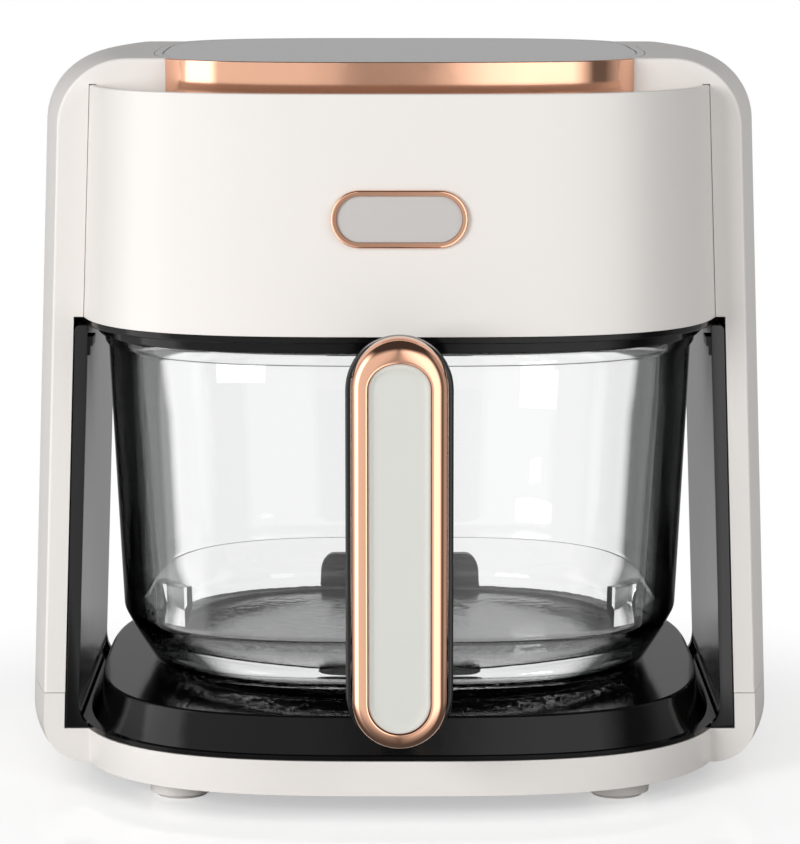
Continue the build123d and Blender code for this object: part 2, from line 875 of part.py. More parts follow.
def trim_band(end):
    with BuildPart() as band:
        extrude(pod_section(ledge_top, -band_wall - seat_clear), amount=arch_top - ledge_top)
        fillet(band.faces().sort_by(Axis.Z)[-1].edges(), band_round)
        extrude(pod_section(ledge_top, -seat_clear), amount=arch_top - ledge_top, mode=Mode.SUBTRACT)
        with BuildSketch(level(ledge_top)):
            with Locations((0, end * (half_depth + seat_clear + body_width / 2))):
                Rectangle(2 * body_width, body_width)
        extrude(amount=arch_top - ledge_top, mode=Mode.INTERSECT)
    return band


trim_band_front = trim_band(-1)
keep(trim_band_front, "trim_band_front")
trim_band_rear = trim_band(1)
keep(trim_band_rear, "trim_band_rear")

board_length = 96.0
board_width = 52.0
board_corner = 2.0
display_rise = 1.0
display_block = 2.0
digits_length = 52.0
digits_width = 18.0
key_radius = 2.5
key_pitch = 19.0
key_rows = 39.0
board_post = 2.4
board_post_inset = 5.0
with BuildPart() as display_board:
    with BuildSketch(level(carrier_z + carrier_plate + display_rise)):
        RectangleRounded(board_length, board_width, board_corner)
    extrude(amount=board_thickness)
    with BuildSketch(level(carrier_z + carrier_plate + display_rise + board_thickness)):
        Rectangle(digits_length, digits_width)
        with GridLocations(key_pitch, key_rows, 5, 2):
            Circle(key_radius)
    extrude(amount=display_block)
    with BuildSketch(level(carrier_z + carrier_plate)):
        with GridLocations(board_length - 2 * board_post_inset, board_width - 2 * board_post_inset, 2, 2):
            Circle(board_post)
    extrude(amount=display_rise)
keep(display_board, "display_board")

# Hot air chamber over the ring: reflector dome and outer heat shield
dome_z = lip_z + ring_lip
dome_top = dome_z + dome_height
shield_radius = dome_radius + shield_gap
shield_top = dome_top + shield_gap
dome_flange = 6.0
shield_rim = 2.0
ear_radius = 4.5
shaft_clearance = 2.5
leg_clearance = 2.0
shaft_hole = shaft_radius + shaft_clearance
leg_hole = coil_tube + leg_clearance
coil_bend = 9.0
coil_z = dome_top - coil_drop
coil_gap_start = 100.0
coil_gap_end = 60.0
coil_leg_rise = 6.0
probe_radius = 2.0
probe_inset = 14.0
ring_screw_bite = 5.0


def polar(radius, angle, along=0.0):
    """A point at radius and angle in degrees, moved along the direction of travel round the axis."""
    turn = angle * pi / 180
    return (
        radius * cos(turn) - along * sin(turn),
        radius * sin(turn) + along * cos(turn),
    )


coil_ends = [polar(coil_outer, coil_gap_start, -coil_bend), polar(coil_inner, coil_gap_start, -coil_bend)]
probe_place = polar(dome_radius - probe_inset, 225)
ear_places = [polar(shield_radius + ear_radius, 45 + 90 * k) for k in range(4)]
flange_corner = 0.5 ** (1 / mouth_power)
ring_screw_x = (mouth_half_x + dome_flange / 2) * flange_corner
ring_screw_y = (mouth_half_y + dome_flange / 2) * flange_corner
ring_screw_places = [(x, y) for x in (-ring_screw_x, ring_screw_x) for y in (-ring_screw_y, ring_screw_y)]

with BuildPart() as reflector_dome:
    extrude(
        rounded_square(level(dome_z), mouth_half_x + dome_flange, mouth_half_y + dome_flange, mouth_power),
        amount=sheet,
    )
    with BuildSketch(level(dome_z)):
        Circle(dome_radius)
    extrude(amount=dome_height)
    with BuildSketch(level(dome_z)):
        Circle(dome_radius - sheet)
    extrude(amount=dome_height - sheet, mode=Mode.SUBTRACT)
    with BuildSketch(level(dome_z)):
        Circle(shaft_hole)
        with Locations(*coil_ends):
            Circle(leg_hole)
        with Locations(probe_place):
            Circle(probe_radius + hole_clearance)
        with Locations(*ear_places, *ring_screw_places):
            Circle(screw_radius + running_fit)
    extrude(amount=dome_height, mode=Mode.SUBTRACT)
keep(reflector_dome, "reflector_dome")

with BuildPart() as heat_shield:
    with BuildSketch(level(dome_z + sheet)):
        Circle(shield_radius + shield_rim)
        with Locations(*ear_places):
            Circle(ear_radius)
    extrude(amount=sheet)
    with BuildSketch(level(dome_z + sheet)):
        Circle(shield_radius)
    extrude(amount=shield_top - dome_z - sheet)
    with BuildSketch(level(dome_z + sheet)):
        Circle(shield_radius - sheet)
    extrude(amount=shield_top - dome_z - 2 * sheet, mode=Mode.SUBTRACT)
    with BuildSketch(level(dome_z)):
        Circle(shaft_hole)
        with Locations(*coil_ends):
            Circle(leg_hole)
        with Locations(probe_place):
            Circle(probe_radius + hole_clearance)
        with Locations(*ear_places):
            Circle(screw_radius + running_fit)
    extrude(amount=shield_top - dome_z, mode=Mode.SUBTRACT)
keep(heat_shield, "heat_shield")

with BuildPart() as shield_screws:
    with BuildSketch(level(dome_z + 2 * sheet)):
        with Locations(*ear_places):
            Circle(screw_head_radius)
    extrude(amount=screw_head_height)
    with BuildSketch(level(dome_z + 2 * sheet)):
        with Locations(*ear_places):
            Circle(screw_radius)
    extrude(amount=-3 * sheet)
keep(shield_screws, "shield_screws")

with BuildPart() as ring_screws:
    with BuildSketch(level(dome_z + sheet)):
        with Locations(*ring_screw_places):
            Circle(screw_head_radius)
    extrude(amount=screw_head_height)
    with BuildSketch(level(dome_z + sheet)):
        with Locations(*ring_screw_places):
            Circle(screw_radius)
    extrude(amount=-sheet - ring_screw_bite)
keep(ring_screws, "ring_screws")

# Black ring under the head, with the mouth of the hot air chamber
ring_half_x = bay_half(liner_top) - seam
with BuildPart() as chamber_ring:
    extrude(
        rounded_square(level(lip_z), head_half_x - edge_round / 2, head_half_y - edge_round / 2, head_power),
        amount=ring_lip,
    )
    fillet(chamber_ring.faces().sort_by(Axis.Z)[0].edges(), edge_round / 2)
    extrude(rounded_square(level(ring_z), ring_half_x, ring_half_y, ring_power), amount=ring_drop)
    fillet(chamber_ring.faces().sort_by(Axis.Z)[0].edges(), edge_round / 2)
    extrude(
        rounded_square(level(ring_z), mouth_half_x, mouth_half_y, mouth_power),
        amount=ring_drop + ring_lip,
        mode=Mode.SUBTRACT,
    )
    with BuildSketch(level(dome_z)):
        with Locations(*ring_screw_places):
            Circle(screw_radius)
    extrude(amount=-ring_screw_bite, mode=Mode.SUBTRACT)
keep(chamber_ring, "chamber_ring")

# Pressed guard across the mouth: three rings on eight arms
guard_bar = 2.2
guard_radius = dome_radius - sheet - seam / 2
with BuildPart() as element_guard:
    with BuildSketch(level(dome_z + sheet)):
        for share in (1, 2 / 3, 1 / 3):
            with BuildSketch(mode=Mode.PRIVATE) as ring:
                Circle(guard_radius * share)
                Circle(guard_radius * share - guard_bar, mode=Mode.SUBTRACT)
            add(ring.sketch)
        with PolarLocations(0, 4, angular_range=180):
            Rectangle(2 * guard_radius - guard_bar, guard_bar)
    extrude(amount=guard_bar)
keep(element_guard, "element_guard")

# Heating coil: an outer and an inner turn joined by a bend, with both ends turned up
coil_mean = (coil_outer + coil_inner) / 2
coil_sweep = 360 - coil_gap_start + coil_gap_end
coil_leg_top = shield_top + coil_leg_rise


def coil_end(radius):
    """Top of the upright leg, the foot of that leg, then the middle and the end of its bend."""
    top = polar(radius, coil_gap_start, -coil_bend)
    middle = polar(radius, coil_gap_start, -coil_bend * cos(pi / 4))
    end = polar(radius, coil_gap_start)
    drop = coil_bend * (1 - cos(pi / 4))
    return (
        (top[0], top[1] + body_y, coil_leg_top),
        (top[0], top[1] + body_y, coil_z + coil_bend),
        (middle[0], middle[1] + body_y, coil_z + drop),
        (end[0], end[1] + body_y, coil_z),
    )


with BuildPart() as heater_coil:
    with BuildLine() as coil_path:
        top, bend_start, bend_middle, bend_end = coil_end(coil_outer)
        Line(top, bend_start)
        ThreePointArc(bend_start, bend_middle, bend_end)
        with BuildLine(level(coil_z)):
            CenterArc((0, 0), coil_outer, coil_gap_start, coil_sweep)
            CenterArc(polar(coil_mean, coil_gap_end), (coil_outer - coil_inner) / 2, coil_gap_end, 180)
            CenterArc((0, 0), coil_inner, coil_gap_end, -coil_sweep)
        top, bend_start, bend_middle, bend_end = coil_end(coil_inner)
        ThreePointArc(bend_end, bend_middle, bend_start)
        Line(bend_start, top)
    with BuildSketch(Plane(coil_path.wires()[0] @ 0, z_dir=(0, 0, -1))):
        Circle(coil_tube)
    sweep(path=coil_path.wires()[0])
keep(heater_coil, "heater_coil")

bush_rim = 2.0
bush_height = 4.0
with BuildPart() as heater_bushes:
    with BuildSketch(level(shield_top)):
        with Locations(*coil_ends):
            Circle(leg_hole + bush_rim)
            Circle(coil_tube + seat_clear, mode=Mode.SUBTRACT)
    extrude(amount=bush_height)
    with BuildSketch(level(shield_top)):
        with Locations(*coil_ends):
            Circle(leg_hole - seat_clear)
            Circle(coil_tube + seat_clear, mode=Mode.SUBTRACT)
    extrude(amount=-(shield_gap + 2 * sheet))
keep(heater_bushes, "heater_bushes")

# Motor with its bridge, its two fans on one shaft
fan_gap = 3.0
mount_plate = 1.6
mount_rim = 2.0
mount_hole = 12.0
mount_vent_ring = 38.0
mount_vent = 5.0
post_radius = 3.0
motor_wall = 1.2
motor_clearance = 1.5
rotor_radius = 17.5
rotor_gap = 1.2
stator_gap = 0.6
seat_ring = 2.0
cap_vent_ring = 24.0
cap_vent = 3.0
cool_fan_z = shield_top + fan_gap
mount_z = cool_fan_z + cool_fan_height + fan_gap
motor_z = mount_z + mount_plate
motor_top = motor_z + motor_height
hot_fan_z = dome_top - sheet - fan_gap - hot_fan_height
post_ring = cool_fan_radius + fan_gap + post_radius
rotor_low = motor_z + motor_wall + bearing_height + rotor_gap
rotor_high = motor_top - bearing_height - rotor_gap

with BuildPart() as motor_mount:
    with BuildSketch(level(mount_z)):
        Circle(post_ring + post_radius + mount_rim)
        Circle(mount_hole, mode=Mode.SUBTRACT)
        with PolarLocations(mount_vent_ring, 8):
            Circle(mount_vent, mode=Mode.SUBTRACT)
    extrude(amount=mount_plate)
    with BuildSketch(level(shield_top)):
        with PolarLocations(post_ring, 4, start_angle=10):
            Circle(post_radius)
    extrude(amount=mount_z - shield_top)
keep(motor_mount, "motor_mount")

with BuildPart() as motor_can:
    with BuildSketch(level(motor_z)):
        Circle(motor_radius)
    extrude(amount=motor_height)
    with BuildSketch(level(motor_z + motor_wall)):
        Circle(motor_radius - motor_wall)
    extrude(amount=motor_height, mode=Mode.SUBTRACT)
    with BuildSketch(level(motor_z + motor_wall)):
        Circle(bearing_radius + running_fit + seat_ring)
        Circle(bearing_radius + running_fit, mode=Mode.SUBTRACT)
    extrude(amount=bearing_height)
    with BuildSketch(level(motor_z)):
        Circle(shaft_radius + motor_clearance)
    extrude(amount=motor_wall, mode=Mode.SUBTRACT)
keep(motor_can, "motor_can")

with BuildPart() as motor_end_cap:
    with BuildSketch(level(motor_top)):
        Circle(motor_radius)
    extrude(amount=motor_wall)
    with BuildSketch(level(motor_top)):
        Circle(bearing_radius + running_fit + seat_ring)
        Circle(bearing_radius + running_fit, mode=Mode.SUBTRACT)
    extrude(amount=-bearing_height)
    with BuildSketch(level(motor_top)):
        with PolarLocations(cap_vent_ring, 8):
            Circle(cap_vent)
    extrude(amount=motor_wall, mode=Mode.SUBTRACT)
keep(motor_end_cap, "motor_end_cap")

with BuildPart() as bearings:
    for low in (motor_z + motor_wall, motor_top - bearing_height):
        with BuildSketch(level(low)):
            Circle(bearing_radius)
            Circle(shaft_radius + running_fit, mode=Mode.SUBTRACT)
        extrude(amount=bearing_height)
keep(bearings, "bearings")

winding_width = 9.0
winding_length = 7.0
winding_corner = 2.0
with BuildPart() as stator:
    with BuildSketch(level(rotor_low)):
        Circle(motor_radius - motor_wall)
        Circle(rotor_radius + stator_gap, mode=Mode.SUBTRACT)
        with PolarLocations((motor_radius + rotor_radius) / 2, 6):
            RectangleRounded(winding_length, winding_width, winding_corner, mode=Mode.SUBTRACT)
    extrude(amount=rotor_high - rotor_low)
keep(stator, "stator")

with BuildPart() as rotor_core:
    with BuildSketch(level(rotor_low)):
        Circle(rotor_radius)
        Circle(shaft_radius, mode=Mode.SUBTRACT)
    extrude(amount=rotor_high - rotor_low)
keep(rotor_core, "rotor_core")

nut_height = 4.0
nut_radius = 5.8
shaft_end = 1.0
shaft_chamfer = 0.5
shaft_low = hot_fan_z - nut_height - shaft_end
with BuildPart() as motor_shaft:
    with BuildSketch(level(shaft_low)):
        Circle(shaft_radius)
    extrude(amount=motor_top - shaft_chamfer - shaft_low)
    chamfer(motor_shaft.faces().sort_by(Axis.Z)[0].edges(), shaft_chamfer)
keep(motor_shaft, "motor_shaft")

fan_hub = 8.0
fan_disc = 1.0
blade_root = 1.0
hot_blades = 10
cool_blades = 7
cool_blade_width = 11.0
cool_blade_pitch = 35.0


def blade_length(radius):
    return radius - fan_hub + blade_root


def blade_middle(radius):
    return (radius + fan_hub - blade_root) / 2


with BuildPart() as hot_fan:
    with BuildSketch(level(hot_fan_z)):
        Circle(fan_hub)
        with PolarLocations(blade_middle(hot_fan_radius), hot_blades):
            Rectangle(blade_length(hot_fan_radius), fan_disc)
    extrude(amount=hot_fan_height)
    with BuildSketch(level(hot_fan_z + hot_fan_height - fan_disc)):
        Circle(hot_fan_radius)
    extrude(amount=fan_disc)
    with BuildSketch(level(hot_fan_z)):
        Circle(shaft_radius)
    extrude(amount=hot_fan_height, mode=Mode.SUBTRACT)
keep(hot_fan, "hot_fan")

with BuildPart() as cooling_fan:
    with BuildSketch(level(cool_fan_z)):
        Circle(fan_hub)
    extrude(amount=cool_fan_height)
    for blade in range(cool_blades):
        across, along = polar(1, 360 * blade / cool_blades)
        rise = cos(cool_blade_pitch * pi / 180)
        turn = sin(cool_blade_pitch * pi / 180)
        face = Plane(
            origin=(0, body_y, cool_fan_z + cool_fan_height / 2),
            x_dir=(across, along, 0),
            z_dir=(-along * turn, across * turn, rise),
        )
        with BuildSketch(face):
            with Locations((blade_middle(cool_fan_radius), 0)):
                Rectangle(blade_length(cool_fan_radius), cool_blade_width)
        extrude(amount=fan_disc / 2, both=True)
    with BuildSketch(level(cool_fan_z)):
        Circle(shaft_radius)
    extrude(amount=cool_fan_height, mode=Mode.SUBTRACT)
keep(cooling_fan, "cooling_fan")

with BuildPart() as fan_nut:
    with BuildSketch(level(hot_fan_z - nut_height)):
        RegularPolygon(nut_radius, 6)
        Circle(shaft_radius, mode=Mode.SUBTRACT)
    extrude(amount=nut_height)
keep(fan_nut, "fan_nut")

# Power board on four standoffs over the shield, with its transformer, relay and two capacitors
standoff_height = 12.0
standoff_radius = 3.2
power_x = 82.0
power_width = 44.0
power_length = 96.0
power_hole_inset = 5.5
power_tall = 14.0
transformer_width = 20.0
transformer_length = 24.0
relay_width = 16.0
relay_length = 19.0
capacitor_radius = 5.0
power_z = shield_top + standoff_height
power_hole_x = power_width / 2 - power_hole_inset
power_hole_y = power_length / 2 - power_hole_inset

with BuildPart() as board_standoffs:
    with BuildSketch(level(shield_top)):
        with Locations((power_x, 0)):
            with GridLocations(2 * power_hole_x, 2 * power_hole_y, 2, 2):
                RegularPolygon(standoff_radius, 6)
    extrude(amount=standoff_height)
keep(board_standoffs, "board_standoffs")

with BuildPart() as power_board:
    with BuildSketch(level(power_z)):
        with Locations((power_x, 0)):
            RectangleRounded(power_width, power_length, board_corner)
    extrude(amount=board_thickness)
    with BuildSketch(level(power_z + board_thickness)):
        with Locations((power_x - power_width / 7, -power_length / 4)):
            Rectangle(transformer_width, transformer_length)
        with Locations((power_x + power_width / 5, power_length / 24)):
            Rectangle(relay_width, relay_length)
        with Locations((power_x - power_width / 4, power_length / 9), (power_x, power_length / 3)):
            Circle(capacitor_radius)
    extrude(amount=power_tall)
keep(power_board, "power_board")

# Cut-out and probe of the hot air chamber
cutout_length = 30.0
cutout_width = 9.0
cutout_radius = 8.0
cutout_height = 6.0
tab_spacing = 9.0
tab_width = 6.0
tab_height = 8.0
probe_head = 5.0
probe_head_height = 3.0
cutout_place = polar(coil_outer, 160)
with BuildPart() as thermal_cutout:
    with BuildSketch(level(shield_top)):
        with Locations(cutout_place):
            SlotOverall(cutout_length, cutout_width)
    extrude(amount=sheet)
    with BuildSketch(level(shield_top + sheet)):
        with Locations(cutout_place):
            Circle(cutout_radius)
    extrude(amount=cutout_height)
    with BuildSketch(level(shield_top + sheet + cutout_height)):
        with Locations(cutout_place):
            with GridLocations(tab_spacing, 0, 2, 1):
                Rectangle(sheet, tab_width)
    extrude(amount=tab_height)
keep(thermal_cutout, "thermal_cutout")

with BuildPart() as temperature_probe:
    with BuildSketch(level(shield_top)):
        with Locations(probe_place):
            Circle(probe_head)
    extrude(amount=probe_head_height)
    with BuildSketch(level(shield_top)):
        with Locations(probe_place):
            Circle(probe_radius)
    extrude(amount=-(shield_top - coil_z))
keep(temperature_probe, "temperature_probe")

# Bowl stop on the rear edge of the tray, with the sprung plunger that senses the bowl
stop_corner = 7.0
stop_round = 2.5
plunger_rise = 14.0
plunger_round = 0.8
flange_radius = 4.0
flange_thickness = 1.0
switch_width = 12.0
switch_height = 6.8
blade_thickness = 0.3
stop_front = tray_half_y - edge_round - stop_depth
stop_middle = tray_top + stop_height / 2
plunger_z = tray_top + plunger_rise
plunger_nose = bowl_sizes(plunger_z + plunger_radius)[1] + seam
flange_front = stop_front + stop_wall + seat_clear
switch_room = stop_depth - 2 * stop_wall

with BuildPart() as bowl_stop:
    with BuildSketch(facing(stop_front, stop_middle)):
        RectangleRounded(stop_width, stop_height, stop_corner)
        with Locations((0, -stop_height / 4)):
            Rectangle(stop_width, stop_height / 2)
    extrude(amount=-stop_depth)
    fillet(bowl_stop.faces().sort_by(Axis.Y)[0].edges().sort_by(Axis.Z)[1:], stop_round)
    with BuildSketch(facing(stop_front + stop_wall, stop_middle)):
        Rectangle(stop_width - 2 * stop_corner, stop_height - 2 * stop_round)
    extrude(amount=-switch_room, mode=Mode.SUBTRACT)
    with BuildSketch(facing(stop_front, plunger_z)):
        Circle(plunger_radius + 2 * running_fit)
    extrude(amount=-stop_wall, mode=Mode.SUBTRACT)
keep(bowl_stop, "bowl_stop")

with BuildPart() as interlock_button:
    with BuildSketch(facing(plunger_nose, plunger_z)):
        Circle(plunger_radius)
    extrude(amount=plunger_nose - flange_front)
    with BuildSketch(facing(flange_front, plunger_z)):
        Circle(flange_radius)
    extrude(amount=-flange_thickness)
    fillet(interlock_button.faces().sort_by(Axis.Y)[0].edges(), plunger_round)
keep(interlock_button, "interlock_button")

switch_x = flange_radius + 2 * seam + switch_width / 2
with BuildPart() as interlock_switch:
    with BuildSketch(facing(stop_front + stop_wall, plunger_z)):
        with Locations((switch_x, 0)):
            Rectangle(switch_width, switch_height)
    extrude(amount=-switch_room)
    with BuildSketch(facing(flange_front + flange_thickness + plunger_travel + seat_clear, plunger_z)):
        with Locations((switch_x / 2, 0)):
            Rectangle(switch_x, plunger_radius)
    extrude(amount=-blade_thickness)
keep(interlock_switch, "interlock_switch")
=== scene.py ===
# %% [markdown]
# # A glass air fryer in a white studio
# The imported model is the fixed frame of this lesson: every length is in metres, +Z is up and the
# front looks along -Y. The frame gives us each part at its real size, so nothing here is measured
# twice. We start by loading it; part_box gives the box that a part fills.

# %% Load the frame
from math import cos, pi, radians, sin

import bmesh
import bpy
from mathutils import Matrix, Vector
from mathutils.kdtree import KDTree


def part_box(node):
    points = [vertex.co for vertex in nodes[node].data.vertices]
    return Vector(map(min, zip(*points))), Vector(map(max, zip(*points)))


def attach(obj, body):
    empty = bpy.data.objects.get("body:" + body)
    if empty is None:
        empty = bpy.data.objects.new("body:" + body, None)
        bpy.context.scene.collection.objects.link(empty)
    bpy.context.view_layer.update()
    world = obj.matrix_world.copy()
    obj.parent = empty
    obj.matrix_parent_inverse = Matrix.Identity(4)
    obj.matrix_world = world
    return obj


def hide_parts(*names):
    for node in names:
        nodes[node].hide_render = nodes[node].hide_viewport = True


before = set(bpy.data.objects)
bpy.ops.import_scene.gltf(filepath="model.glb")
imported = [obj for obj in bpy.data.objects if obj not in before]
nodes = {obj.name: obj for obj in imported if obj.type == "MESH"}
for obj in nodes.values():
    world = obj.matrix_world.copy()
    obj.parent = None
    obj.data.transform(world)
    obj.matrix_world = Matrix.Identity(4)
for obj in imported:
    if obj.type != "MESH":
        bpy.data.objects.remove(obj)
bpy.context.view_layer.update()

# %% [markdown]
# ## The camera
# The picture was taken with a long lens a little above the object, looking slightly down. A long
# lens keeps upright edges nearly parallel, as in most product pictures. The lens is given in
# millimetres for a 36 mm sensor, and depth of field stays off.

# %% Camera
CAMERA_PLACE = (0.0002, -1.58924, 0.3874)
CAMERA_TILT = radians(81.4697)
CAMERA_LENS = 156.30

bpy.ops.object.camera_add(location=CAMERA_PLACE, rotation=(CAMERA_TILT, 0, 0))
camera = bpy.context.object
camera.data.lens = CAMERA_LENS
camera.data.sensor_width = 36
bpy.context.scene.camera = camera
bpy.context.scene.view_settings.view_transform = "Standard"

# %% [markdown]
# ## A small kit for materials
# Shader nodes are easier to read as sums than as wires. `Number` wraps a socket, and adds a Math
# node each time we write `a * b` or `1 - a`. `Shades.node` adds any other kind of node: settings
# first, then the values or links of its sockets. A material and the world both own such a tree.


# %% Numbers and nodes
class Number:
    """A number on its way through a node tree."""

    def __init__(self, shades, socket):
        self.shades = shades
        self.socket = socket

    def maths(self, operation, other, swapped=False):
        """A Math node on this number and another; swapped puts the other one first."""
        first, second = (other, self) if swapped else (self, other)
        made = self.shades.node("ShaderNodeMath", {"operation": operation}, {0: first, 1: second})
        return Number(self.shades, made.outputs[0])

    def __add__(self, other):
        return self.maths("ADD", other)

    __radd__ = __add__

    def __sub__(self, other):
        return self.maths("SUBTRACT", other)

    def __rsub__(self, other):
        return self.maths("SUBTRACT", other, swapped=True)

    def __mul__(self, other):
        return self.maths("MULTIPLY", other)

    __rmul__ = __mul__


class Shades:
    """A node tree, with short ways to add what we need to it."""

    def __init__(self, tree):
        self.tree = tree

    def node(self, kind, settings=None, sockets=None):
        made = self.tree.nodes.new(kind)
        for key, value in (settings or {}).items():
            setattr(made, key, value)
        for key, value in (sockets or {}).items():
            self.feed(made.inputs[key], value)
        return made

    def feed(self, socket, value):
        if isinstance(value, Number):
            value = value.socket
        if isinstance(value, bpy.types.NodeSocket):
            self.tree.links.new(value, socket)
        else:
            socket.default_value = value

    def number(self, node, output=0):
        return Number(self, node.outputs[output])

    def ramp(self, value, low, high):
        """0 below low, 1 above high, and a smooth way between."""
        settings = {"interpolation_type": "SMOOTHSTEP"}
        sockets = {"Value": value, "From Min": low, "From Max": high}
        return self.number(self.node("ShaderNodeMapRange", settings, sockets))

    def blend(self, share, first, second):
        """Mixes two shaders: a share of 0 shows the first, and 1 the second."""
        return self.node("ShaderNodeMixShader", {}, {0: share, 1: first.outputs[0], 2: second.outputs[0]})

    def rays(self):
        """Which ray looks: one straight from the camera or through glass, and one off a gloss."""
        path = self.node("ShaderNodeLightPath")
        through = self.number(path, "Is Transmission Ray")
        straight = self.number(path, "Is Camera Ray").maths("MAXIMUM", through)
        return straight, self.number(path, "Is Glossy Ray") * (1 - through)


class Material(Shades):
    """One material, its shader, and the nodes that feed it."""

    def __init__(self, name):
        self.data = bpy.data.materials.new(name)
        self.data.use_nodes = True
        super().__init__(self.data.node_tree)
        self.shader = self.tree.nodes["Principled BSDF"]

    def set(self, **values):
        """Sets the shader's own sockets: base_color means Base Color."""
        for key, value in values.items():
            self.feed(self.shader.inputs[key.replace("_", " ").title().replace("Ior", "IOR")], value)

    def place(self):
        return self.node("ShaderNodeTexCoord").outputs["Object"]

    def noise(self, spots, detail=3.0, stretch=(1, 1, 1)):
        """Soft random values from 0 to 1, at so many spots a metre."""
        mapped = self.node("ShaderNodeMapping", {}, {"Vector": self.place(), "Scale": stretch})
        values = {"Vector": mapped.outputs[0], "Scale": spots, "Detail": detail, "Roughness": 0.5}
        return self.number(self.node("ShaderNodeTexNoise", {}, values))

    def mix(self, share, first, second):
        """Mixes two colours: a share of 0 shows the first, and 1 the second."""
        made = self.node("ShaderNodeMix", {"data_type": "RGBA"}, {0: share, 6: first, 7: second})
        return made.outputs[2]

    def bump(self, height, depth):
        """Dents as deep as depth in metres where the height is 0, and none where it is 1."""
        values = {"Height": height, "Distance": depth, "Strength": 1.0}
        return self.node("ShaderNodeBump", {}, values).outputs[0]


def shade(colour, factor=1.0):
    """A colour made lighter or darker, with full opacity."""
    return (colour[0] * factor, colour[1] * factor, colour[2] * factor, 1.0)


# %% [markdown]
# ## The finishes
# Moulded plastic is never one flat colour: the pigment clouds a little, the gloss changes where it
# was handled, and the mould leaves a very fine grain. Each finish below starts from one colour and
# adds those three things and a few small specks, with noise at four sizes.


# %% Moulded plastics
CLOUD_SPOTS = 9
HANDLED_SPOTS = 30
GRAIN_SPOTS = 2600
SPECK_SPOTS = 900
SPECK_EDGE = (0.72, 0.80)
SPECK_SHARE = 0.05
SPECK_SHADE = 0.6
COAT_GLOSS = 0.2


def plastic(name, colour, gloss, grain=0.00002, coat=0.0, cloud=0.02, level=0.5):
    """Moulded plastic: gloss is its roughness, grain the depth of the mould's texture in metres."""
    made = Material(name)
    clouds = made.noise(CLOUD_SPOTS)
    handled = made.noise(HANDLED_SPOTS, detail=4, stretch=(1, 1, 0.5))
    fine = made.noise(GRAIN_SPOTS, detail=2)
    specks = made.ramp(made.noise(SPECK_SPOTS, detail=1), *SPECK_EDGE)
    base = made.mix(clouds, shade(colour, 1 - cloud), shade(colour, 1 + cloud))
    base = made.mix(specks * SPECK_SHARE, base, shade(colour, SPECK_SHADE))
    made.set(
        base_color=base,
        roughness=gloss + (handled - 0.5) * gloss * 0.25 + specks * 0.03,
        normal=made.bump(fine, grain),
        coat_weight=coat,
        coat_roughness=COAT_GLOSS,
        specular_ior_level=level,
    )
    return made.data


CREAM = (0.80, 0.765, 0.735)
BLACK = (0.004, 0.004, 0.004)
PANEL = (0.45, 0.445, 0.44)
SAGE = (0.64, 0.645, 0.605)
BADGE = (0.53, 0.515, 0.50)
BOARD = (0.02, 0.13, 0.06)
CERAMIC = (0.78, 0.76, 0.70)

cream = plastic("cream plastic", CREAM, 0.36, coat=0.12)
black = plastic("black gloss plastic", BLACK, 0.10, grain=0.000004, cloud=0.2, level=0.2)
black_satin = plastic("black satin plastic", BLACK, 0.24, cloud=0.2, level=0.4)
black_lining = plastic("black lining plastic", BLACK, 0.13, grain=0.000006, cloud=0.2, level=0.4)
panel_grey = plastic("grey panel", PANEL, 0.10, grain=0.000003, coat=0.6)
sage = plastic("sage plastic", SAGE, 0.38)
badge_pale = plastic("pale badge plastic", BADGE, 0.40)
green = plastic("circuit board", BOARD, 0.30)
ceramic = plastic("white ceramic", CERAMIC, 0.45)


# %% [markdown]
# Rubber is dull and a little dusty, so its colour lifts where the dust noise is high.


# %% Rubber
DUST = (0.25, 0.24, 0.23)
DUST_SPOTS = 160
RUBBER_SPOTS = 1500
RUBBER_GLOSS = 0.62
RUBBER_GRAIN = 0.00004
SILICONE = (0.012, 0.012, 0.012)
PALE_RUBBER = (0.58, 0.55, 0.52)


def rubber(name, colour):
    """Dull rubber with dust on it."""
    made = Material(name)
    dust = made.ramp(made.noise(DUST_SPOTS, detail=5), 0.45, 0.75)
    made.set(
        base_color=made.mix(dust * 0.25, shade(colour), shade(DUST)),
        roughness=RUBBER_GLOSS + dust * 0.2,
        normal=made.bump(made.noise(RUBBER_SPOTS), RUBBER_GRAIN),
    )
    return made.data


silicone = rubber("black silicone", SILICONE)
pad_rubber = rubber("pale grip rubber", PALE_RUBBER)


# %% [markdown]
# Metal: the colour is the colour of its reflections. Polished rose gold keeps tiny polishing lines
# that run along the piece, and brushed steel has long fine scratches. Both are stretched noise.


# %% Metals
METAL_CLOUD_SPOTS = 30
STREAK_SPOTS = 160
PIT_SPOTS = 1400
PIT_EDGE = (0.70, 0.80)


def metal(name, colour, gloss, lines=0.0, stretch=(1, 1, 40), scratch=0.000003):
    """Bare metal: lines is how much the streaks change its roughness, scratch their depth."""
    made = Material(name)
    clouds = made.noise(METAL_CLOUD_SPOTS)
    streaks = made.noise(STREAK_SPOTS, stretch=stretch)
    pits = made.ramp(made.noise(PIT_SPOTS, detail=1), *PIT_EDGE)
    made.set(
        base_color=made.mix(clouds, shade(colour, 0.97), shade(colour, 1.02)),
        metallic=1.0,
        roughness=gloss + lines * (streaks - 0.5) + pits * 0.02,
        normal=made.bump(streaks, scratch),
    )
    return made.data


ROSE = (0.86, 0.48, 0.325)
STEEL = (0.60, 0.59, 0.57)
HEATED_STEEL = (0.16, 0.13, 0.11)
ALUMINIUM = (0.78, 0.78, 0.78)
ZINC = (0.66, 0.65, 0.62)
COPPER = (0.48, 0.20, 0.09)

